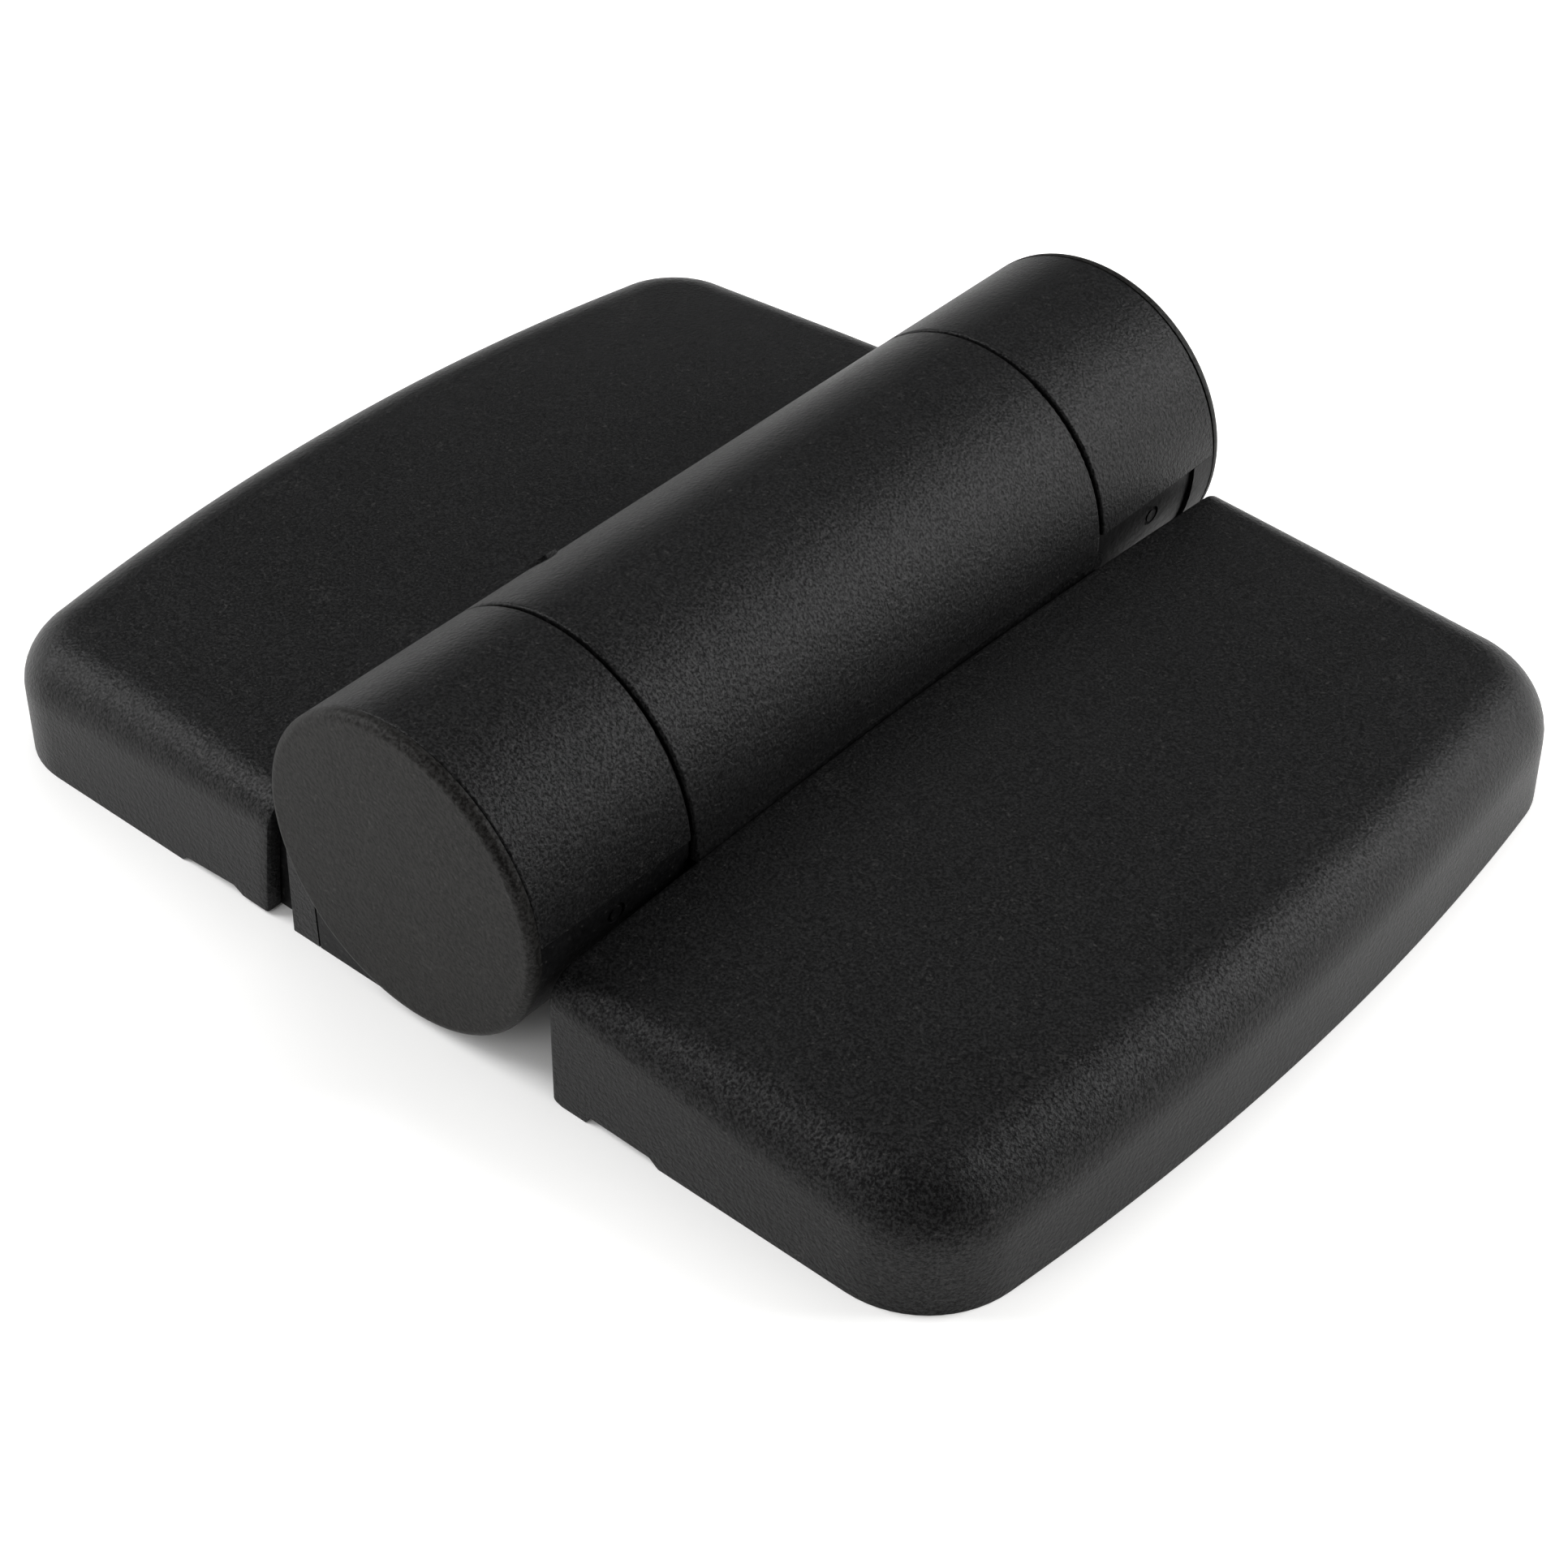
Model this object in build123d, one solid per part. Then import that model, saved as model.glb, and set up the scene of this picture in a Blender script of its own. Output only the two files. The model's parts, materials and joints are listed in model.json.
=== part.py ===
from build123d import *

import math
import os

# Surface-mounted hinge with a soft-motion damper in its barrel and clip-on screw covers.
# Millimetres. +Z points away from the mounting surface, Y is the hinge axis and the door leaf
# lies towards +X. The origin is on the mounting surface, under the middle of the barrel.
# Front means -Y and rear means +Y.

# Barrel
barrel_radius = 15.0
axis_height = 15.6
barrel_half_length = 46.1
cap_thickness = 1.1
cap_rounding = 0.8
middle_half_length = 27.25
knuckle_gap = 0.4
fit_gap = 0.05

# Leaves and covers
leaf_width = 90.3
leaf_reach = 58.2
outer_edge_radius = 280.0
outer_edge_centre_y = 2.2
plan_corner_radius = 9.5
door_cover_inner_x = 15.6
frame_cover_inner_x = 18.6
frame_cover_lean = 2.0
cover_height = 14.6
cover_wall = 1.5
cover_crown_radius = 667.0
cover_crown_x = 12.0
cover_edge_fillet = 4.2
cover_draft = 1.0
plate_thickness = 4.0
plate_inset = 1.8
rim_thickness = 2.2
rim_height = 8.0
door_plate_inner_x = 16.6
frame_plate_inner_x = 17.0
door_wall_x = 16.6
frame_wall_x = 19.2
inner_wall_thickness = 1.5
inner_wall_half_length = 41.0

# Mounting holes, the same on both leaves
hole_radius = 2.75
screw_head_radius = 5.4
countersink_depth = 2.4
hole_x = (28.0, 46.0)
hole_y = (-33.0, 33.0)
boss_radius = 7.2
boss_height = 5.4

# Knuckles
skin_thickness = 1.5
skin_inner_radius = barrel_radius - skin_thickness
core_radius = skin_inner_radius - fit_gap
exposed_core_radius = 14.6
end_collar_radius = 14.95
end_collar_length = 3.0
skin_end_height = axis_height + 0.6
skirt_outer_x = -15.6
skirt_inner_x = -12.3
foot_inner_x = -3.0
arm_width = 12.6
arm_height = 8.0
arm_clearance = 0.2
web_height = 12.5
strip_reach = 15.4
strip_top = 14.7
strip_thickness = 1.2
skin_edge_rounding = 0.25

# Shaft and the pieces on it
shaft_radius = 5.0
shaft_half_length = 37.9
shaft_flat_height = 3.8
running_gap = 0.05
shoulder_hole_radius = 5.3
shoulder_thickness = 1.55
anchor_radius = 8.0
key_reach = 10.0
key_width = 4.0
screw_shank_radius = 2.45
screw_head_r = 4.75
screw_head_length = 2.8
screw_length = 12.0
socket_across_flats = 3.0
socket_depth = 1.5
washer_radius = 6.5
washer_thickness = 1.3
cap_ring_outer = 7.9
cap_ring_inner = 6.6
cap_ring_length = 2.5

# Bearings and damper inside the middle knuckle
bush_radius = 7.5
bush_length = 6.3
thrust_radius = 9.8
thrust_thickness = 1.0
thrust_recess_depth = 0.8
damper_bore_radius = 11.0
damper_wall = 1.5
damper_front_y = -18.0
damper_rear_y = 19.95
damper_end_wall = 3.5
damper_oil_gap = 0.3
rotor_end_gap = 0.5
housing_key_reach = 12.4
housing_key_width = 3.0
seal_section_radius = 1.0
seal_groove_width = 2.1
drive_pin_radius = 1.5
drive_pin_length = 16.0

knuckle_end = barrel_half_length - cap_thickness
end_knuckle_start = middle_half_length + knuckle_gap
cap_joint = knuckle_end + fit_gap
front, rear = -1, 1


def along_axis(profile, start, end):
    """Extrudes a profile, drawn as X and Z, between two places along the hinge axis."""
    low, high = min(start, end), max(start, end)
    return extrude(Plane.XZ.offset(-low) * profile, amount=high - low, dir=(0, 1, 0))


def disc(radius, start, end):
    """A round solid on the hinge axis."""
    return along_axis(Pos(0, axis_height) * Circle(radius), start, end)


def ring(outer, inner, start, end):
    """A round solid on the hinge axis with a round hole through it."""
    low, high = min(start, end), max(start, end)
    return disc(outer, low, high) - disc(inner, low - 1, high + 1)


def box_between(low, high):
    """A box from its lowest corner to its highest corner."""
    size = [b - a for a, b in zip(low, high)]
    centre = [(a + b) / 2 for a, b in zip(low, high)]
    return Pos(*centre) * Box(*size)


def turned_over(shape):
    """Moves a shape to the frame side by half a turn about the vertical."""
    return Rot(0, 0, 180) * shape


def leaf_outline(inner_x, inset):
    """D-shaped plan of a leaf on the +X side, moved in from the outside edge of its cover."""
    half = leaf_width / 2 - inset
    radius = outer_edge_radius - inset
    arc_centre_x = leaf_reach - outer_edge_radius
    front_x = arc_centre_x + math.sqrt(radius**2 - (half + outer_edge_centre_y) ** 2)
    rear_x = arc_centre_x + math.sqrt(radius**2 - (half - outer_edge_centre_y) ** 2)
    furthest = (leaf_reach - inset, outer_edge_centre_y)
    edges = [
        Line((inner_x, -half), (front_x, -half)),
        ThreePointArc((front_x, -half), furthest, (rear_x, half)),
        Line((rear_x, half), (inner_x, half)),
        Line((inner_x, half), (inner_x, -half)),
    ]
    plan = make_face(Curve() + edges)
    corners = plan.vertices().sort_by(Axis.X)[-2:]
    return fillet(corners, plan_corner_radius - inset)


def crowned_block(inset):
    """Rounded outer form of a cover, with its walls and top moved in by the inset."""
    start_x = 0.0
    block = extrude(leaf_outline(start_x, inset), amount=cover_height + 1, taper=cover_draft)
    crown = Pos(cover_crown_x, 0, cover_height - cover_crown_radius) * Sphere(cover_crown_radius - inset)
    block = block & crown
    top = block.faces().sort_by(Axis.Z)[-1]
    rounded = top.edges().sort_by(Axis.X)[1:]
    return fillet(rounded, cover_edge_fillet - inset)


def clip_ridges(wall_inset, reach, slack):
    """Clip ridges inside a cover's walls, or with some slack the grooves that take them."""
    length, low_z, high_z = 12.0 + 2 * slack, 5.0 - slack, 6.2 + slack
    middle_x = 32.0
    wall_y = leaf_width / 2 - wall_inset
    wall_x = leaf_reach - wall_inset
    ridges = [
        Pos(middle_x, side * (wall_y - reach / 2), (low_z + high_z) / 2) * Box(length, reach, high_z - low_z)
        for side in (front, rear)
    ]
    ridges.append(Pos(wall_x - reach / 2, 0, (low_z + high_z) / 2) * Box(reach, length, high_z - low_z))
    return ridges


def pry_notch(inner_x):
    """Shallow recesses across both ends of a cover's lower edge, where a blade lifts it off."""
    start, width, depth, slope = inner_x + 4.0, 7.2, 0.8, 0.4
    return along_axis(
        Polygon(
            (start, -1),
            (start + width, -1),
            (start + width, 0),
            (start + width - slope, depth),
            (start + slope, depth),
            (start, 0),
            align=None,
        ),
        -leaf_width,
        leaf_width,
    )


def cover(inner_x, lean):
    """Clip-on screw cover on the +X side, open underneath and towards the barrel."""
    shell = crowned_block(0.0) - crowned_block(cover_wall)
    top = cover_height + 1
    cut = Polygon((-1, -1), (inner_x, -1), (inner_x, 0), (inner_x - lean, top), (-1, top), align=None)
    shell = shell - along_axis(cut, -leaf_width, leaf_width)
    for ridge in clip_ridges(cover_wall - 0.3, 1.0, 0.0):
        shell = shell + ridge
    return shell - pry_notch(inner_x)


def leaf_plate(inner_x, wall_x):
    """Screw plate on the +X side, with its rim, bosses and countersunk holes."""
    plate = extrude(leaf_outline(inner_x, plate_inset), amount=plate_thickness)
    rim = extrude(leaf_outline(inner_x, plate_inset), amount=rim_height)
    rim = rim - extrude(leaf_outline(inner_x - 1, plate_inset + rim_thickness), amount=rim_height)
    wall_gap = 0.3
    wall = box_between(
        (wall_x, -inner_wall_half_length, 0),
        (wall_x + inner_wall_thickness, inner_wall_half_length, cover_height),
    )
    wall = wall & crowned_block(cover_wall + wall_gap)
    plate = plate + rim + wall
    places = [(x, y) for x in hole_x for y in hole_y]
    for x, y in places:
        plate = plate + Pos(x, y, boss_height / 2) * Cylinder(boss_radius, boss_height)
    for x, y in places:
        plate = plate - Pos(x, y, boss_height / 2) * Cylinder(hole_radius, boss_height + 2)
        cone_z = boss_height - countersink_depth / 2
        plate = plate - Pos(x, y, cone_z) * Cone(hole_radius, screw_head_radius, countersink_depth)
    for groove in clip_ridges(cover_wall, 1.2, 0.3):
        plate = plate - groove
    return plate


def frame_leaf():
    """Fixed leaf: screw plate, two arms and the cores of the two end knuckles, in one moulding."""
    leaf = turned_over(leaf_plate(frame_plate_inner_x, frame_wall_x))
    lower_right = Polygon((0, 0), (20, 0), (20, skin_end_height - 0.1), (0, skin_end_height - 0.1), align=None)
    exposed = Pos(0, axis_height) * Circle(exposed_core_radius) & lower_right
    foot_left = skirt_inner_x + 0.2
    foot = Polygon((foot_left, 0), (foot_inner_x, 0), (foot_inner_x, 8), (foot_left, 12), align=None)
    core = Pos(0, axis_height) * Circle(core_radius) + exposed + foot
    arm = Polygon((-22, 0), (-6, 0), (-6, arm_height), (-18.5, arm_height), (-22, plate_thickness), align=None)
    arm_middle = (end_knuckle_start + knuckle_end) / 2
    collar = Pos(0, axis_height) * Circle(end_collar_radius) & lower_right
    for side in (front, rear):
        leaf = leaf + along_axis(core, side * end_knuckle_start, side * knuckle_end)
        leaf = leaf + along_axis(collar, side * (knuckle_end - end_collar_length), side * knuckle_end)
        leaf = leaf - ejector_mark(side)
        arm_start = side * (arm_middle - arm_width / 2)
        arm_end = side * (arm_middle + arm_width / 2)
        leaf = leaf + along_axis(arm, arm_start, arm_end)
    bore_start = end_knuckle_start + shoulder_thickness
    for side in (front, rear):
        leaf = leaf - disc(shoulder_hole_radius, side * (end_knuckle_start - 1), side * knuckle_end)
        leaf = leaf - disc(anchor_radius, side * bore_start, side * (knuckle_end + 1))
        leaf = leaf - along_axis(key_profile(fit_gap), side * bore_start, side * (knuckle_end + 1))
    return leaf


def ejector_mark(side):
    """Shallow round groove that an ejector pin leaves beside a knuckle's skin."""
    angle_from_top, middle_y, outer, inner, depth = 97.6, 36.1, 1.0, 0.65, 0.15
    place = Pos(0, side * middle_y, axis_height) * Rot(0, angle_from_top, 0) * Pos(0, 0, exposed_core_radius)
    return place * (Cylinder(outer, 2 * depth) - Cylinder(inner, 2 * depth))


def key_profile(slack):
    """Section of the key that stops a shaft anchor from turning in its knuckle."""
    half = key_width / 2 + slack
    left = -key_reach - slack
    low, high = axis_height - half, axis_height + half
    return Polygon((left, low), (0, low), (0, high), (left, high), align=None)


def with_rounded_ends(skin):
    """Rounds the outer edges at both ends of a knuckle's skin."""
    arcs = [edge for edge in skin.edges().filter_by(GeomType.CIRCLE) if edge.radius > core_radius + fit_gap]
    return fillet(arcs, skin_edge_rounding)


def end_knuckle_shell(side):
    """Grained skin over one end knuckle, with a skirt down to the mounting surface."""
    right_angle = math.degrees(math.asin((skin_end_height - axis_height) / barrel_radius))
    outer_right = (barrel_radius * math.cos(math.radians(right_angle)), skin_end_height)
    inner_rise = skin_end_height - axis_height
    inner_right = (math.sqrt(skin_inner_radius**2 - inner_rise**2), skin_end_height)
    inner_drop = math.sqrt(skin_inner_radius**2 - skirt_inner_x**2)
    inner_left = (skirt_inner_x, axis_height - inner_drop)
    edges = [
        ThreePointArc(outer_right, (0, axis_height + barrel_radius), (-barrel_radius, axis_height)),
        Line((-barrel_radius, axis_height), (skirt_outer_x, 0)),
        Line((skirt_outer_x, 0), (skirt_inner_x, 0)),
        Line((skirt_inner_x, 0), inner_left),
        ThreePointArc(inner_left, (0, axis_height + skin_inner_radius), inner_right),
        Line(inner_right, outer_right),
    ]
    skin = along_axis(make_face(Curve() + edges), side * end_knuckle_start, side * knuckle_end)
    arm_middle = side * (end_knuckle_start + knuckle_end) / 2
    opening_width = arm_width + 2 * arm_clearance
    opening_height = arm_height + arm_clearance
    opening = Pos(skirt_outer_x, arm_middle, opening_height / 2 - 1) * Box(8, opening_width, opening_height + 2)
    return with_rounded_ends(skin) - opening


def end_cap(side):
    """Round cap that closes one end of the barrel, with a ring that snaps into the bore."""
    outer = side * barrel_half_length
    cap = disc(barrel_radius, side * cap_joint, outer)
    rim = cap.edges().filter_by(GeomType.CIRCLE).sort_by(Axis.Y)
    cap = fillet(rim[0] if side == front else rim[-1], cap_rounding)
    return cap + ring(cap_ring_outer, cap_ring_inner, side * cap_joint, side * (cap_joint - cap_ring_length))


def hinge_shaft():
    """Steel shaft with a flat at each end, tapped ends and a cross hole for the rotor's pin."""
    shaft = disc(shaft_radius, -shaft_half_length, shaft_half_length)
    flat_start = end_knuckle_start + shoulder_thickness
    for side in (front, rear):
        flat_low = (-shaft_radius, min(side * flat_start, side * 40), axis_height + shaft_flat_height)
        flat_high = (shaft_radius, max(side * flat_start, side * 40), axis_height + shaft_radius + 1)
        shaft = shaft - box_between(flat_low, flat_high)
        tapped_start = shaft_half_length - screw_length - 1
        shaft = shaft - disc(screw_shank_radius + fit_gap, side * tapped_start, side * 40)
    return shaft - Pos(0, 0, axis_height) * Cylinder(drive_pin_radius + fit_gap, 4 * shaft_radius)


def shaft_anchor(side):
    """Keyed hub that holds one end of the shaft still in its knuckle."""
    start = end_knuckle_start + shoulder_thickness + fit_gap
    key = key_profile(0.0)
    profile = Pos(0, axis_height) * Circle(anchor_radius - fit_gap) + key
    bore = Pos(0, axis_height) * Circle(shaft_radius + fit_gap)
    flat_z = axis_height + shaft_flat_height + fit_gap
    bore = bore & Polygon((-9, 0), (9, 0), (9, flat_z), (-9, flat_z), align=None)
    return along_axis(profile - bore, side * start, side * shaft_half_length)


def shaft_end_washers():
    """Two plain washers, one at each end of the shaft."""
    start = shaft_half_length + fit_gap
    end = start + washer_thickness
    hole = screw_shank_radius + 0.25
    return [ring(washer_radius, hole, side * start, side * end) for side in (front, rear)]


def shaft_end_screws():
    """Two socket screws that clamp the washers to the shaft's ends."""
    screws = []
    seat = shaft_half_length + washer_thickness + 2 * fit_gap
    head_end = seat + screw_head_length
    for side in (front, rear):
        head = disc(screw_head_r, side * seat, side * head_end)
        edges = head.edges().filter_by(GeomType.CIRCLE).sort_by(Axis.Y)
        head = fillet(edges[0] if side == front else edges[-1], 1.0)
        shank = disc(screw_shank_radius, side * (seat - screw_length), side * seat)
        hexagon = Pos(0, axis_height) * RegularPolygon(socket_across_flats / 2, 6, major_radius=False)
        socket = along_axis(hexagon, side * (head_end - socket_depth), side * (head_end + 1))
        screws.append(head + shank - socket)
    return screws


def damper_limits():
    """Ends of the space inside the damper, along the axis."""
    return damper_front_y + damper_end_wall, damper_rear_y - damper_end_wall


def damper_rotor():
    """Drum that turns in the damper's thick grease, pinned to the shaft."""
    low, high = damper_limits()
    drum_radius = damper_bore_radius - fit_gap - damper_wall - damper_oil_gap
    drum = ring(drum_radius, shaft_radius + fit_gap, low + rotor_end_gap, high - rotor_end_gap)
    groove_pitch, groove_width, groove_depth = 5.0, 1.5, 0.8
    for step in range(-2, 3):
        middle = (low + high) / 2 + step * groove_pitch + groove_pitch / 2
        start, end = middle - groove_width / 2, middle + groove_width / 2
        drum = drum - ring(drum_radius + 1, drum_radius - groove_depth, start, end)
    return drum - Pos(0, 0, axis_height) * Cylinder(drive_pin_radius + fit_gap, 4 * drum_radius)


def rotor_drive_pin():
    """Cross pin that makes the rotor and the shaft one."""
    return Pos(0, 0, axis_height) * Cylinder(drive_pin_radius, drive_pin_length)


def damper_housing():
    """Cup of the damper, with a key along it and a seal groove in its closed end."""
    low, high = damper_limits()
    outer = damper_bore_radius - fit_gap
    key_half = housing_key_width / 2
    key_z = axis_height
    key = box_between(
        (outer - 2, low, key_z - key_half), (housing_key_reach, damper_rear_y, key_z + key_half)
    )
    cup = disc(outer, damper_front_y, damper_rear_y) + key
    cup = cup - disc(outer - damper_wall, damper_front_y - 1, high)
    cup = cup - disc(shaft_radius + 0.1, high - 1, damper_rear_y + 1)
    return cup - seal_groove(high + damper_end_wall / 2)


def seal_groove(middle):
    """Groove for a shaft seal."""
    radius = shaft_radius + running_gap + 2 * seal_section_radius + fit_gap
    return disc(radius, middle - seal_groove_width / 2, middle + seal_groove_width / 2)


def damper_lid():
    """Plug that closes the damper's open end, with a seal groove."""
    low, _ = damper_limits()
    radius = damper_bore_radius - damper_wall - 2 * fit_gap
    lid = ring(radius, shaft_radius + 0.1, damper_front_y, low)
    return lid - seal_groove(low - damper_end_wall / 2)


def shaft_seal(middle):
    """Rubber ring round the shaft."""
    ring_radius = shaft_radius + running_gap + seal_section_radius
    section = Pos(ring_radius, 0) * Circle(seal_section_radius)
    seal = revolve(Plane.XY * section, axis=Axis.Y)
    return Pos(0, middle, axis_height) * seal


def bush(side):
    """Plain bearing bush for the shaft."""
    end = middle_half_length - thrust_recess_depth - fit_gap
    outer, inner = bush_radius - fit_gap, shaft_radius + running_gap
    return ring(outer, inner, side * (end - bush_length), side * end)


def thrust_washer(side):
    """Plain washer that keeps the knuckles from rubbing."""
    start = middle_half_length - thrust_recess_depth + fit_gap
    return ring(thrust_radius, shaft_radius + 0.4, side * start, side * (start + thrust_thickness))


def bearing_carrier():
    """Ring that holds the front bush in the wide end of the bore."""
    end = middle_half_length - thrust_recess_depth
    return ring(damper_bore_radius - fit_gap, bush_radius, -end, damper_front_y - fit_gap)


def door_leaf():
    """Moving leaf: screw plate, web and the core of the middle knuckle, in one moulding."""
    leaf = leaf_plate(door_plate_inner_x, door_wall_x)
    slope_end, slope_start = 25.0, 18.0
    web = Polygon(
        (0, 0),
        (slope_end, 0),
        (slope_end, plate_thickness),
        (slope_start, web_height),
        (0, web_height),
        align=None,
    )
    core = Pos(0, axis_height) * Circle(core_radius) + web
    leaf = leaf + along_axis(core, -middle_half_length, middle_half_length)
    recess_start = middle_half_length - thrust_recess_depth
    for side in (front, rear):
        leaf = leaf - disc(thrust_radius + 0.2, side * recess_start, side * (middle_half_length + 1))
    leaf = leaf - disc(damper_bore_radius, -middle_half_length - 1, damper_rear_y + fit_gap)
    leaf = leaf - disc(bush_radius, damper_rear_y, middle_half_length)
    key_half = housing_key_width / 2 + fit_gap
    keyway = box_between(
        (0, -middle_half_length - 1, axis_height - key_half),
        (housing_key_reach + fit_gap, damper_rear_y + fit_gap, axis_height + key_half),
    )
    return leaf - keyway


def gate_mark():
    """Low disc left where the skin was moulded, on the upper left of the middle knuckle."""
    angle, middle_y, radius, height = 45.0, -17.8, 1.4, 0.3
    disc_length = 1.0
    place = Pos(0, middle_y, axis_height) * Rot(0, -angle, 0) * Pos(0, 0, barrel_radius + height - disc_length / 2)
    return place * Cylinder(radius, disc_length)


def middle_knuckle_shell():
    """Grained skin round the middle knuckle, with a narrow strip beside the door leaf's cover."""
    strip_low = strip_top - strip_thickness
    outer_x = math.sqrt(barrel_radius**2 - (strip_top - axis_height) ** 2)
    inner_x = math.sqrt(skin_inner_radius**2 - (strip_low - axis_height) ** 2)
    bottom_outer = (0, axis_height - barrel_radius)
    bottom_inner = (0, axis_height - skin_inner_radius)
    edges = [
        ThreePointArc((outer_x, strip_top), (-barrel_radius, axis_height), bottom_outer),
        Line(bottom_outer, bottom_inner),
        ThreePointArc(bottom_inner, (-skin_inner_radius, axis_height), (inner_x, strip_low)),
        Line((inner_x, strip_low), (strip_reach, strip_low)),
        Line((strip_reach, strip_low), (strip_reach, strip_top)),
        Line((strip_reach, strip_top), (outer_x, strip_top)),
    ]
    skin = along_axis(make_face(Curve() + edges), -middle_half_length, middle_half_length)
    return with_rounded_ends(skin) + gate_mark()


def save(name, shape):
    """Writes one node's solids to its STEP file."""
    solids = shape if isinstance(shape, list) else [shape]
    bodies = [body for piece in solids for body in piece.solids()]
    whole = bodies[0] if len(bodies) == 1 else Compound(children=bodies)
    export_step(whole, f"parts/{name}.step")


os.makedirs("parts", exist_ok=True)
low_space, high_space = damper_limits()
save("frame_leaf", frame_leaf())
save("frame_cover", turned_over(cover(frame_cover_inner_x, frame_cover_lean)))
save("door_leaf", door_leaf())
save("door_cover", cover(door_cover_inner_x, 0.0))
save("middle_knuckle_shell", middle_knuckle_shell())
for name, side in (("front", front), ("rear", rear)):
    save(f"{name}_knuckle_shell", end_knuckle_shell(side))
    save(f"{name}_end_cap", end_cap(side))
    save(f"{name}_shaft_anchor", shaft_anchor(side))
    save(f"{name}_bush", bush(side))
    save(f"{name}_thrust_washer", thrust_washer(side))
save("hinge_shaft", hinge_shaft())
save("shaft_end_washers", shaft_end_washers())
save("shaft_end_screws", shaft_end_screws())
save("damper_rotor", damper_rotor())
save("rotor_drive_pin", rotor_drive_pin())
save("damper_housing", damper_housing())
save("damper_lid", damper_lid())
save("bearing_carrier", bearing_carrier())
save("front_shaft_seal", shaft_seal(low_space - damper_end_wall / 2))
save("rear_shaft_seal", shaft_seal(high_space + damper_end_wall / 2))
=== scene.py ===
import json
import math

import bmesh
import bpy
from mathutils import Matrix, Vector


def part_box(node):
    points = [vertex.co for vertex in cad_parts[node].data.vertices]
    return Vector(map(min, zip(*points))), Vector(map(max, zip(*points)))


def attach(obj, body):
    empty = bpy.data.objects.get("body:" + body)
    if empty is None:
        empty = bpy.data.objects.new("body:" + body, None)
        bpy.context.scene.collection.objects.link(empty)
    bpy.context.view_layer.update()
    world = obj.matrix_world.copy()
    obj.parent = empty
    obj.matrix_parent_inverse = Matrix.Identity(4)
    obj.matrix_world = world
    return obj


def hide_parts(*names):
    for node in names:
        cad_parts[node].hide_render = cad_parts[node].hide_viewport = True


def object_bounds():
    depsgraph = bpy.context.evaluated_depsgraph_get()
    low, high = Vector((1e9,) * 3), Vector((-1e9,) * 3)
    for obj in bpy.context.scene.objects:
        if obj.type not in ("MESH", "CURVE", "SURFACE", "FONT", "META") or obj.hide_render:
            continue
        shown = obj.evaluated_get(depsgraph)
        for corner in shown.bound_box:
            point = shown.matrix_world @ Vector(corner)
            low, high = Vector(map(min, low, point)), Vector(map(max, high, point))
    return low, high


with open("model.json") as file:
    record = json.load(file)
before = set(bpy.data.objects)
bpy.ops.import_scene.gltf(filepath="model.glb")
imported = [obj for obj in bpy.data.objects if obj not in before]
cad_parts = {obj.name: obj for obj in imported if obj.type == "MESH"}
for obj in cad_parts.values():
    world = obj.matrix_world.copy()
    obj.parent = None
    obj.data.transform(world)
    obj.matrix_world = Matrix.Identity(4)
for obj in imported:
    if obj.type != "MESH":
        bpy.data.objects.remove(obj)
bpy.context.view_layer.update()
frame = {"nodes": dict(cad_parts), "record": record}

scene = bpy.context.scene
MM = 0.001


# the part of its range that a noise mostly covers
MIDDLE = (0.3, 0.7)


# ---------------------------------------------------------------- material nodes

def new_material(name):
    """An empty node material with its tree and shader."""
    material = bpy.data.materials.new(name)
    material.use_nodes = True
    tree = material.node_tree
    return material, tree, tree.nodes["Principled BSDF"]


def coordinates(tree, stretch=(1, 1, 1)):
    """Object coordinates in metres, the same scale on every piece, stretched along some axes."""
    place = tree.nodes.new("ShaderNodeTexCoord").outputs["Object"]
    if stretch == (1, 1, 1):
        return place
    node = tree.nodes.new("ShaderNodeMapping")
    node.inputs["Scale"].default_value = stretch
    tree.links.new(place, node.inputs["Vector"])
    return node.outputs["Vector"]


def noise(tree, vector, size, detail, roughness=0.5):
    """Noise with features of about the given size in metres."""
    node = tree.nodes.new("ShaderNodeTexNoise")
    node.inputs["Scale"].default_value = 1 / size
    node.inputs["Detail"].default_value = detail
    node.inputs["Roughness"].default_value = roughness
    tree.links.new(vector, node.inputs["Vector"])
    return node.outputs["Fac"]


def cells(tree, vector, size):
    """Distance to the middle of rounded cells of about the given size in metres."""
    node = tree.nodes.new("ShaderNodeTexVoronoi")
    node.feature = "F1"
    node.inputs["Scale"].default_value = 1 / size
    tree.links.new(vector, node.inputs["Vector"])
    return node.outputs["Distance"]


def ramp(tree, value, low, high, colour_low, colour_high):
    """Turns a value into a colour between two colours."""
    node = tree.nodes.new("ShaderNodeValToRGB")
    first, last = node.color_ramp.elements
    first.position, last.position = low, high
    first.color, last.color = (*colour_low, 1), (*colour_high, 1)
    tree.links.new(value, node.inputs["Fac"])
    return node.outputs["Color"]


def map_range(tree, value, low, high, to_low, to_high):
    """Stretches a value from one range to another, held at its ends."""
    node = tree.nodes.new("ShaderNodeMapRange")
    settings = (low, high, to_low, to_high)
    for name, number in zip(("From Min", "From Max", "To Min", "To Max"), settings):
        node.inputs[name].default_value = number
    tree.links.new(value, node.inputs["Value"])
    return node.outputs["Result"]


def combine(tree, operation, first, second):
    """Arithmetic on two values, of which the second may be a plain number."""
    node = tree.nodes.new("ShaderNodeMath")
    node.operation = operation
    tree.links.new(first, node.inputs[0])
    if isinstance(second, (int, float)):
        node.inputs[1].default_value = second
    else:
        tree.links.new(second, node.inputs[1])
    return node.outputs["Value"]


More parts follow.
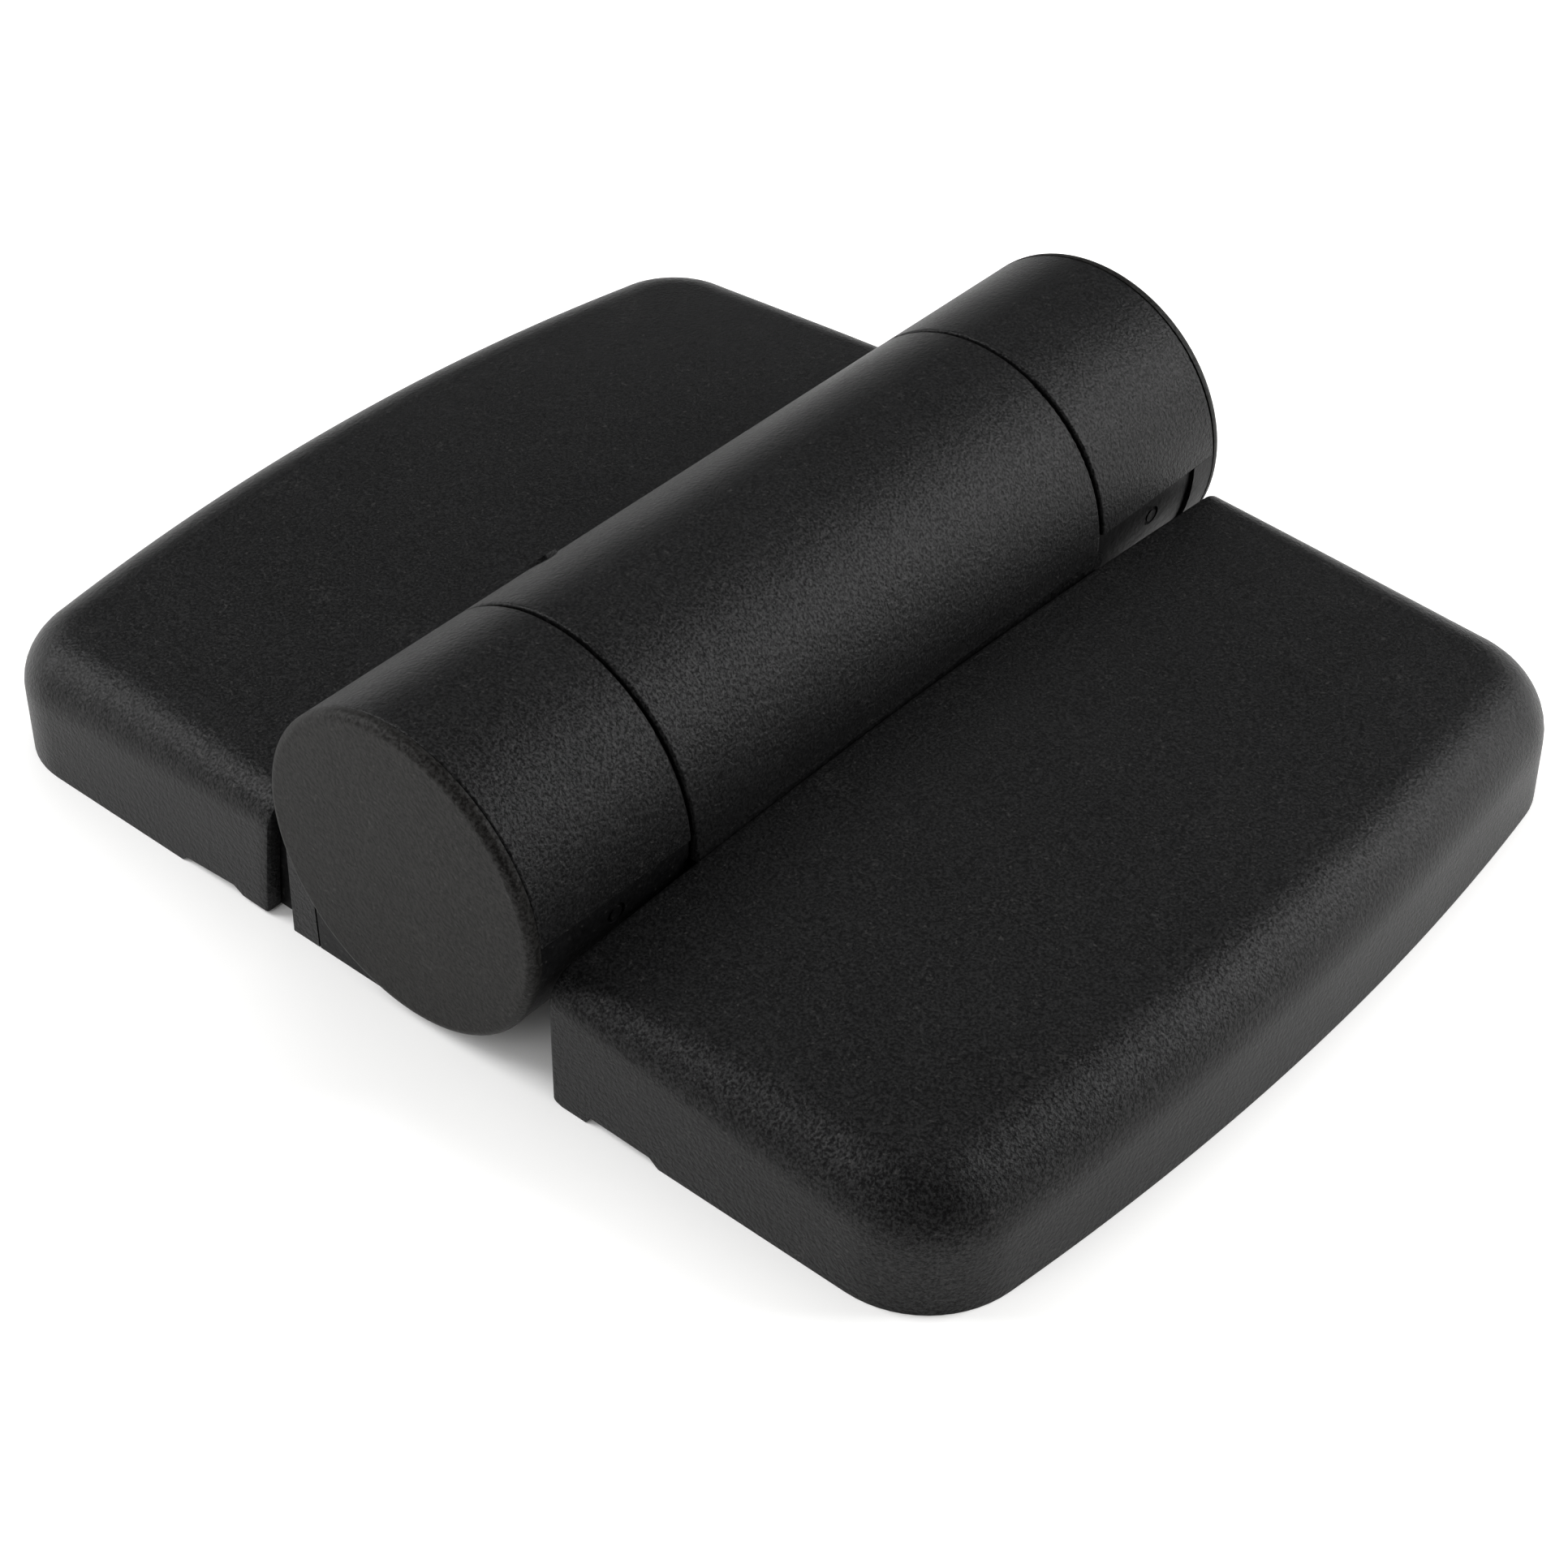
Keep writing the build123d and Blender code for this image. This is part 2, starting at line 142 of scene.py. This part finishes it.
def mix(tree, factor, colour, other):
    """Mixes a plain colour over another colour by a factor."""
    node = tree.nodes.new("ShaderNodeMix")
    node.data_type = "RGBA"
    tree.links.new(factor, node.inputs["Factor"])
    tree.links.new(colour, node.inputs["A"])
    node.inputs["B"].default_value = (*other, 1)
    return node.outputs["Result"]


def bump(tree, height, distance, strength):
    """Raises the surface by the height times the distance in metres."""
    node = tree.nodes.new("ShaderNodeBump")
    node.inputs["Distance"].default_value = distance
    node.inputs["Strength"].default_value = strength
    tree.links.new(height, node.inputs["Height"])
    return node.outputs["Normal"]


def speckle(tree, place, size, share):
    """Sparse light specks, as of dust and scuffed grain tops."""
    dots = noise(tree, place, size, detail=1.0)
    threshold, softness = 1.0 - share, 0.06
    return map_range(tree, dots, threshold, threshold + softness, 0.0, 1.0)


# ---------------------------------------------------------------- materials

PATCH_SIZE = 14 * MM
PATCH_SHARE = 0.35
TONE_EDGES = (0.38, 0.62)
PIT_SPREAD = 1.8
PIT_SHARE = 0.5
SCUFF_SIZE, SCUFF_GRAIN = 5 * MM, 0.5 * MM
SCUFF_EDGES = (0.36, 0.52)
SPECK_SIZE, SPECK_SHARE, SPECK_STRENGTH = 0.4 * MM, 0.32, 0.35
WORN_COLOUR = (0.055, 0.053, 0.051)
GLINT_EDGES = (0.42, 0.60)
GLINT_LOW, GLINT_HIGH = (0.12, 0.12, 0.12), (1.0, 1.0, 1.0)
SHEEN_SWING = 0.06
ROUGHNESS_SWING = 0.09


def plastic(name, dark, light, specular, roughness, grain_size, grain_depth, wear):
    """Moulded black plastic: grain, mottled sheen, fine specks and scuffs."""
    material, tree, shader = new_material(name)
    place = coordinates(tree)
    patches = noise(tree, place, PATCH_SIZE, detail=5.0, roughness=0.62)
    fine = noise(tree, place, grain_size, detail=4.0, roughness=0.65)
    pits = cells(tree, place, PIT_SPREAD * grain_size)
    patch_part = combine(tree, "MULTIPLY", patches, PATCH_SHARE)
    fine_part = combine(tree, "MULTIPLY", fine, 1 - PATCH_SHARE)
    tone = combine(tree, "ADD", patch_part, fine_part)
    colour = ramp(tree, tone, *TONE_EDGES, dark, light)
    wide_scuffs = noise(tree, place, SCUFF_SIZE, detail=3.0)
    scuffs = combine(tree, "MULTIPLY", wide_scuffs, noise(tree, place, SCUFF_GRAIN, detail=3.0))
    scuffs = map_range(tree, scuffs, *SCUFF_EDGES, 0.0, wear)
    specks = combine(tree, "MULTIPLY", speckle(tree, place, SPECK_SIZE, SPECK_SHARE), SPECK_STRENGTH)
    light_marks = combine(tree, "MAXIMUM", scuffs, specks)
    tree.links.new(mix(tree, light_marks, colour, WORN_COLOUR), shader.inputs["Base Color"])
    shader.inputs["Specular IOR Level"].default_value = specular
    glints = ramp(tree, fine, *GLINT_EDGES, GLINT_LOW, GLINT_HIGH)
    tree.links.new(glints, shader.inputs["Specular Tint"])
    sheen = map_range(tree, patches, *MIDDLE, -SHEEN_SWING, SHEEN_SWING)
    sheen = combine(tree, "ADD", sheen, fine)
    shine = map_range(tree, sheen, *MIDDLE, roughness - ROUGHNESS_SWING, roughness + ROUGHNESS_SWING)
    tree.links.new(shine, shader.inputs["Roughness"])
    relief = combine(tree, "ADD", fine, combine(tree, "MULTIPLY", pits, PIT_SHARE))
    tree.links.new(bump(tree, relief, grain_depth, 1.0), shader.inputs["Normal"])
    return material


def metal(name, colour, roughness, scratch_stretch, scratch_depth):
    """Bare metal with fine machining lines or a cast skin and a faint stain."""
    stain_size, stain_darkness, stain_swing = 6 * MM, 0.82, 0.04
    line_size, line_swing, line_strength = 0.35 * MM, 0.1, 0.8
    material, tree, shader = new_material(name)
    stain = noise(tree, coordinates(tree), stain_size, detail=4.0)
    lines = noise(tree, coordinates(tree, scratch_stretch), line_size, detail=3.0)
    dark = tuple(stain_darkness * part for part in colour)
    tree.links.new(ramp(tree, stain, *MIDDLE, dark, colour), shader.inputs["Base Color"])
    shader.inputs["Metallic"].default_value = 1.0
    shine = map_range(tree, stain, *MIDDLE, -stain_swing, stain_swing)
    shine = combine(tree, "ADD", shine, lines)
    shine = map_range(tree, shine, 0.2, 0.8, roughness - line_swing, roughness + line_swing)
    tree.links.new(shine, shader.inputs["Roughness"])
    tree.links.new(bump(tree, lines, scratch_depth, line_strength), shader.inputs["Normal"])
    return material


def acetal():
    """Natural white bearing plastic, slightly waxy, with turning marks."""
    material, tree, shader = new_material("acetal")
    patch_size, mark_size, mark_depth = 5 * MM, 0.3 * MM, 0.01 * MM
    patches = noise(tree, coordinates(tree), patch_size, detail=3.0)
    marks = noise(tree, coordinates(tree, (1, 0.15, 1)), mark_size, detail=2.0)
    colour = ramp(tree, patches, *MIDDLE, (0.70, 0.69, 0.64), (0.80, 0.79, 0.75))
    tree.links.new(colour, shader.inputs["Base Color"])
    tree.links.new(map_range(tree, marks, *MIDDLE, 0.34, 0.46), shader.inputs["Roughness"])
    shader.inputs["Subsurface Weight"].default_value = 0.15
    shader.inputs["Subsurface Radius"].default_value = (0.8 * MM, 0.8 * MM, 0.7 * MM)
    tree.links.new(bump(tree, marks, mark_depth, 0.7), shader.inputs["Normal"])
    return material


def rubber():
    """Black nitrile with a faint bloom."""
    material, tree, shader = new_material("seal_rubber")
    bloom_size, bloom_depth = 1.5 * MM, 0.02 * MM
    bloom = noise(tree, coordinates(tree), bloom_size, detail=4.0)
    colour = ramp(tree, bloom, *MIDDLE, (0.014, 0.014, 0.015), (0.026, 0.026, 0.027))
    tree.links.new(colour, shader.inputs["Base Color"])
    tree.links.new(map_range(tree, bloom, *MIDDLE, 0.5, 0.68), shader.inputs["Roughness"])
    tree.links.new(bump(tree, bloom, bloom_depth, 0.6), shader.inputs["Normal"])
    return material


materials = {
    "grained_plastic": plastic(
        "grained_plastic", (0.0030, 0.0030, 0.0031), (0.0064, 0.0064, 0.0066),
        specular=0.26, roughness=0.42, grain_size=0.25 * MM, grain_depth=0.08 * MM, wear=0.25,
    ),
    "smooth_cap": plastic(
        "smooth_cap", (0.0048, 0.0046, 0.0043), (0.0126, 0.0120, 0.0110),
        specular=0.22, roughness=0.55, grain_size=0.30 * MM, grain_depth=0.04 * MM, wear=0.3,
    ),
    "moulded_core": plastic(
        "moulded_core", (0.0036, 0.0036, 0.0038), (0.0052, 0.0052, 0.0054),
        specular=0.15, roughness=0.45, grain_size=0.4 * MM, grain_depth=0.03 * MM, wear=0.3,
    ),
    "steel": metal(
        "steel", (0.62, 0.62, 0.64), roughness=0.30, scratch_stretch=(1, 0.08, 1),
        scratch_depth=0.006 * MM,
    ),
    "zinc": metal(
        "zinc", (0.50, 0.50, 0.52), roughness=0.45, scratch_stretch=(1, 1, 1),
        scratch_depth=0.015 * MM,
    ),
    "acetal": acetal(),
    "seal_rubber": rubber(),
}
slots = {part["node"]: part["material_slot"] for part in frame["record"]["subparts"]}
for node, thing in frame["nodes"].items():
    for slot in thing.material_slots:
        slot.material = materials[slots[node]]


# ---------------------------------------------------------------- covers

# sizes of both covers, in millimetres
WALL = 1.5
CORNER = 9.5
FRAME_COVER_INNER_X = 18.6
ROUNDING_FROM = 15.5
ROUNDING_BY_BARREL, ROUNDING_AT_CORNER, ROUNDING_AT_END = 2.7, 5.0, 6.2
ROUNDING_CURVE = 1.4
OUTER_RADIUS = 280.0
OUTER_CENTRE_Y = 2.2
CROWN_RADIUS = 667.0
CROWN_X = 12.0
CROWN_HEIGHT = 14.6
DRAFT = math.tan(math.radians(1.0))
EDGE_SOFTNESS = 0.22
FIRST_STATION = 1.2
FOOT_DETAIL_END = 40
MERGE_DISTANCE, SLIVER_LENGTH = 0.005, 0.001

# stations along each stretch of the plan, and rows of points up each station
STRAIGHT_STEPS, CORNER_STEPS, OUTER_STEPS = 22, 14, 60
WALL_ROWS, EDGE_ROWS = 4, 12


def crown(x, y):
    """Height of a cover's top over a place in its plan."""
    away = (x - CROWN_X) ** 2 + y ** 2
    return CROWN_HEIGHT - CROWN_RADIUS + math.sqrt(CROWN_RADIUS ** 2 - away)


def rounding(x, far_x, round_the_end):
    """Radius between a cover's wall and top: small by the barrel, large round the outer end."""
    t = min(max((x - ROUNDING_FROM) / (far_x - ROUNDING_FROM), 0.0), 1.0)
    growth = (ROUNDING_AT_CORNER - ROUNDING_BY_BARREL) * (1 - (1 - t) ** ROUNDING_CURVE)
    return ROUNDING_BY_BARREL + growth + (ROUNDING_AT_END - ROUNDING_AT_CORNER) * round_the_end


def between(start, end, count):
    """Evenly spaced numbers from start up to but without end."""
    return [start + (end - start) * step / count for step in range(count)]


def outline(inner_x, reach, half, breaks):
    """Stations round a cover's plan, with the places of its first corner and its outer end.

    A station is a place, the inward direction, the rounding radius and the softened inset.
    """
    arc_x = reach - OUTER_RADIUS
    inside = OUTER_RADIUS - CORNER
    centre_y = half - CORNER
    centres = []
    for side in (-1, 1):
        off_centre = side * centre_y - OUTER_CENTRE_Y
        centres.append(Vector((arc_x + math.sqrt(inside ** 2 - off_centre ** 2), side * centre_y)))

    def straight(side):
        far_x = centres[0].x if side < 0 else centres[1].x
        eased = 0.3 * EDGE_SOFTNESS
        ends = [(inner_x, EDGE_SOFTNESS), (inner_x + eased, eased)]
        even = between(inner_x + FIRST_STATION, far_x, STRAIGHT_STEPS)
        steps = sorted({inner_x + EDGE_SOFTNESS, *breaks, *even})
        ends += [(x, 0.0) for x in steps]
        found = [
            (Vector((x, side * half)), Vector((0, -side)), rounding(x, far_x, 0.0), inset)
            for x, inset in ends
        ]
        return found if side < 0 else found[::-1]

    def corner(side):
        centre = centres[0] if side < 0 else centres[1]
        outwards = centre - Vector((arc_x, OUTER_CENTRE_Y))
        turn = math.pi / 2 - abs(math.atan2(outwards.y, outwards.x))
        found = []
        for step in range(CORNER_STEPS + 1):
            angle = turn * step / CORNER_STEPS
            direction = Vector((math.sin(angle), side * math.cos(angle)))
            radius = rounding(centre.x, centre.x, step / CORNER_STEPS)
            found.append((centre + CORNER * direction, -direction, radius, 0.0))
        return found if side < 0 else found[::-1]

    stations = straight(-1)
    first_corner = len(stations)
    stations += corner(-1)
    first_outer = len(stations) - 1
    angles = [math.atan2(c.y - OUTER_CENTRE_Y, c.x - arc_x) for c in centres]
    for step in range(1, OUTER_STEPS):
        angle = angles[0] + (angles[1] - angles[0]) * step / OUTER_STEPS
        direction = Vector((math.cos(angle), math.sin(angle)))
        place = Vector((arc_x, OUTER_CENTRE_Y)) + OUTER_RADIUS * direction
        stations.append((place, -direction, rounding(reach, reach, 1.0), 0.0))
    last_outer = len(stations)
    stations += corner(1) + straight(1)
    return stations, first_corner, first_outer, last_outer


def cover_columns(stations, inset, foot):
    """Points up the wall and over the rounded edge at each station, for a surface set in by inset."""
    columns = []
    for place, inward, radius, softened in stations:
        depth = inset if inset else softened
        turn = radius - depth
        edge_z = crown(place.x, place.y) - depth - turn
        low = foot(place.x)
        column = []
        for step in range(WALL_ROWS):
            z = low + (edge_z - low) * step / WALL_ROWS
            column.append((place + (depth + DRAFT * z) * inward, z))
        for step in range(EDGE_ROWS + 1):
            angle = math.radians(90 * step / EDGE_ROWS)
            spot = place + (depth + DRAFT * edge_z + turn * (1 - math.cos(angle))) * inward
            column.append((spot, crown(spot.x, spot.y) - depth - turn * (1 - math.sin(angle))))
        start = depth + DRAFT * edge_z + turn
        for step in (1, 2):
            spot = place + (start + (CORNER - start) * step / 2) * inward
            column.append((spot, crown(spot.x, spot.y) - depth))
        columns.append([(spot.x, spot.y, z) for spot, z in column])
    return columns


def profile_height(points):
    """Height of a lower edge between the given places, in straight steps."""
    def height(x):
        for (x0, z0), (x1, z1) in zip(points, points[1:]):
            if x <= x1:
                return z0 + (z1 - z0) * max(x - x0, 0.0) / (x1 - x0)
        return points[-1][1]
    return height


def cover_piece(name, node, foot_points, lean, turned):
    """A cover as one closed mesh: outer skin, inner skin, rim and the open end by the barrel."""
    low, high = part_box(node)
    reach = (-low.x if turned else high.x) / MM
    inner_x = FRAME_COVER_INNER_X if turned else low.x / MM
    half = (high.y - low.y) / 2 / MM
    foot = profile_height(foot_points)
    breaks = [x for x, _ in foot_points if inner_x + EDGE_SOFTNESS < x < FOOT_DETAIL_END]
    stations, first_corner, first_outer, last_outer = outline(inner_x, reach, half, breaks)
    skins = [cover_columns(stations, inset, foot) for inset in (0.0, WALL)]

    mesh_builder = bmesh.new()

    def place(point):
        x, y, z = point
        x = x + lean(x - inner_x, y, z)
        if turned:
            x, y = -x, -y
        return mesh_builder.verts.new((x * MM, y * MM, z * MM))

    def face(corners):
        mesh_builder.faces.new(corners)

    rows = len(skins[0][0])
    rings = [[[place(point) for point in column] for column in skin] for skin in skins]
    for skin in rings:
        flip = skin is rings[1]
        for left, right in zip(skin, skin[1:]):
            for k in range(rows - 1):
                corners = [left[k], right[k], right[k + 1], left[k + 1]]
                face(corners[::-1] if flip else corners)

    # the flat middle of the top, between the front and rear straight stretches
    grids = []
    for skin, points, inset in zip(rings, skins, (0.0, WALL)):
        across = range(first_outer, last_outer + 1)
        grid = []
        for i in range(first_corner):
            front_x = points[i][-1][0]
            depth = inset if inset else stations[i][3]
            share = (front_x - inner_x) / (points[first_corner][-1][0] - inner_x)
            line = []
            for j, index in enumerate(across):
                if j == 0:
                    line.append(skin[i][-1])
                elif j == len(across) - 1:
                    line.append(skin[len(stations) - 1 - i][-1])
                else:
                    far_x, y, _ = points[index][-1]
                    x = inner_x + share * (far_x - inner_x)
                    line.append(place((x, y, crown(x, y) - depth)))
            grid.append(line)
        grid.append([skin[index][-1] for index in across])
        flip = skin is rings[1]
        for near, far in zip(grid, grid[1:]):
            for j in range(len(across) - 1):
                corners = [near[j], far[j], far[j + 1], near[j + 1]]
                face(corners[::-1] if flip else corners)
        grids.append(grid)

    # rim underneath and the two skins' open ends
    outer, inner = rings
    for i in range(len(stations) - 1):
        face([outer[i + 1][0], outer[i][0], inner[i][0], inner[i + 1][0]])
    for k in range(rows - 1):
        face([outer[0][k], outer[0][k + 1], inner[0][k + 1], inner[0][k]])
        face([outer[-1][k + 1], outer[-1][k], inner[-1][k], inner[-1][k + 1]])
    for j in range(len(grids[0][0]) - 1):
        face([grids[0][0][j], grids[0][0][j + 1], grids[1][0][j + 1], grids[1][0][j]])

    bmesh.ops.remove_doubles(mesh_builder, verts=mesh_builder.verts, dist=MERGE_DISTANCE * MM)
    bmesh.ops.dissolve_degenerate(mesh_builder, edges=mesh_builder.edges, dist=SLIVER_LENGTH * MM)
    bmesh.ops.recalc_face_normals(mesh_builder, faces=mesh_builder.faces)
    mesh = bpy.data.meshes.new(name)
    mesh_builder.to_mesh(mesh)
    mesh_builder.free()
    mesh.shade_smooth()
    mesh.set_sharp_from_angle(angle=math.radians(40))
    mesh.materials.append(materials["grained_plastic"])
    piece = bpy.data.objects.new(name, mesh)
    scene.collection.objects.link(piece)
    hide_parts(node)
    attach(piece, "frame_side" if turned else "door_side")


def frame_lean(from_end, y, z):
    """The frame cover's open end leans over towards the barrel, in a slight hollow curve."""
    slope, hollow, lean_length = 0.09, 0.0035, 10.0
    fade = max(0.0, 1.0 - from_end / lean_length)
    return -(slope * z + hollow * z * z) * fade


def door_lean(from_end, y, z):
    """The door cover's open end runs slightly askew to the barrel."""
    front_slope, rear_slope, skew_length = 0.006, 0.013, 20.0
    fade = max(0.0, 1.0 - from_end / skew_length)
    return (front_slope if y < 0 else rear_slope) * y * fade


cover_piece(
    "frame_cover_shell", "frame_cover",
    [
        (FRAME_COVER_INNER_X, 0.30), (21.7, 0.35), (22.9, 0.95),
        (29.0, 0.55), (29.6, 0.0), (70.0, 0.0),
    ],
    frame_lean, turned=True,
)
cover_piece(
    "door_cover_shell", "door_cover",
    [
        (15.6, 0.50), (16.0, 0.18), (16.6, 0.0), (19.2, 0.0),
        (19.6, 0.80), (26.0, 0.70), (26.9, 0.0), (70.0, 0.0),
    ],
    door_lean, turned=False,
)


# ---------------------------------------------------------------- floor, light, camera

# the floor glows with painted light: brighter towards the right rear, with a painted contact shadow
# by the object, and dimmer far out
FLOOR_PAINTED_LIGHT_LEFT = 0.52
FLOOR_PAINTED_LIGHT_RIGHT = 0.9
WORLD = 0.05
FLOOR_REACH = 60
FLOOR_DROP = 0.05 * MM
PAINTED_LIGHT_RISE_FROM, PAINTED_LIGHT_RISE_TO = 10 * MM, 85 * MM
CONTACT_SHADE = 30 * MM
PAINTED_LIGHT_FADE_FROM, PAINTED_LIGHT_FADE_TO, PAINTED_LIGHT_FADE_END = 0.3, 1.2, 0.35

low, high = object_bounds()
size = (high - low).length

reach = FLOOR_REACH * size
corners = [(-reach, -reach, 0), (reach, -reach, 0), (reach, reach, 0), (-reach, reach, 0)]
floor_mesh = bpy.data.meshes.new("floor")
floor_mesh.from_pydata(corners, [], [(0, 1, 2, 3)])
floor = bpy.data.objects.new("floor", floor_mesh)
scene.collection.objects.link(floor)
floor.location.z = -FLOOR_DROP
floor_material, floor_tree, floor_shader = new_material("floor")
floor_place = coordinates(floor_tree)
from_middle = floor_tree.nodes.new("ShaderNodeVectorMath")
from_middle.operation = "LENGTH"
floor_tree.links.new(floor_place, from_middle.inputs[0])
to_right = floor_tree.nodes.new("ShaderNodeVectorMath")
to_right.operation = "DOT_PRODUCT"
to_right.inputs[1].default_value = (0.8, 0.6, 0.0)
floor_tree.links.new(floor_place, to_right.inputs[0])
# painted contact shadow: the floor's glow is dimmed where the object crowds it
painted_contact_shadow = floor_tree.nodes.new("ShaderNodeAmbientOcclusion")
painted_contact_shadow.samples = 4
painted_contact_shadow.inputs["Distance"].default_value = CONTACT_SHADE
# painted light: the floor's glow rises from the left front to the right rear
painted_floor_light = map_range(floor_tree, to_right.outputs["Value"], PAINTED_LIGHT_RISE_FROM, PAINTED_LIGHT_RISE_TO, FLOOR_PAINTED_LIGHT_LEFT, FLOOR_PAINTED_LIGHT_RIGHT)
painted_floor_light = combine(floor_tree, "MULTIPLY", painted_floor_light, painted_contact_shadow.outputs["AO"])
# painted light falling off: the floor's glow dims away from the middle
fade = map_range(floor_tree, from_middle.outputs["Value"], PAINTED_LIGHT_FADE_FROM, PAINTED_LIGHT_FADE_TO, 1.0, PAINTED_LIGHT_FADE_END)
painted_floor_light = combine(floor_tree, "MULTIPLY", painted_floor_light, fade)
floor_shader.inputs["Base Color"].default_value = (0.8, 0.8, 0.8, 1)
floor_shader.inputs["Roughness"].default_value = 0.9
floor_shader.inputs["Specular IOR Level"].default_value = 0.0
# the floor glows with this warm painted light, though it is no lamp
floor_shader.inputs["Emission Color"].default_value = (1, 0.99, 0.97, 1)
floor_tree.links.new(painted_floor_light, floor_shader.inputs["Emission Strength"])
floor_mesh.materials.append(floor_material)

world = bpy.data.worlds.new("studio")
world.use_nodes = True
backdrop = world.node_tree.nodes["Background"]
backdrop.inputs["Color"].default_value = (0.96, 0.98, 1, 1)
backdrop.inputs["Strength"].default_value = WORLD
scene.world = world


def softbox(name, azimuth, elevation, distance, width, power):
    """Square area light that faces the object from a direction."""
    light = bpy.data.lights.new(name, "AREA")
    light.shape = "SQUARE"
    light.size = width
    light.energy = power
    thing = bpy.data.objects.new(name, light)
    scene.collection.objects.link(thing)
    a, e = math.radians(azimuth), math.radians(elevation)
    toward = Vector((math.sin(a) * math.cos(e), -math.cos(a) * math.cos(e), math.sin(e)))
    thing.location = toward * distance
    thing.rotation_euler = toward.to_track_quat("Z", "Y").to_euler()


softbox("right_rear_box", 140, 31, 0.8, 0.42, 6.4)
softbox("left_box", -62, 36, 0.8, 0.4, 5.7)
softbox("rear_left_box", -140, 50, 1.0, 0.7, 1.5)
softbox("front_box", 0, 35, 1.0, 0.6, 2.6)

azimuth, elevation = math.radians(40.9), math.radians(40.0)
camera_distance = 0.2812
aim = Vector((0.0067, -0.0068, 0.0042))
back = Vector((
    math.sin(azimuth) * math.cos(elevation),
    -math.cos(azimuth) * math.cos(elevation),
    math.sin(elevation),
))
camera_data = bpy.data.cameras.new("camera")
camera_data.lens = 73.5
camera_data.sensor_width = 36.0
camera = bpy.data.objects.new("camera", camera_data)
scene.collection.objects.link(camera)
camera.location = aim + camera_distance * back
camera.rotation_euler = back.to_track_quat("Z", "Y").to_euler()
camera_data.clip_start = 0.01
scene.camera = camera
scene.view_settings.view_transform = "Standard"
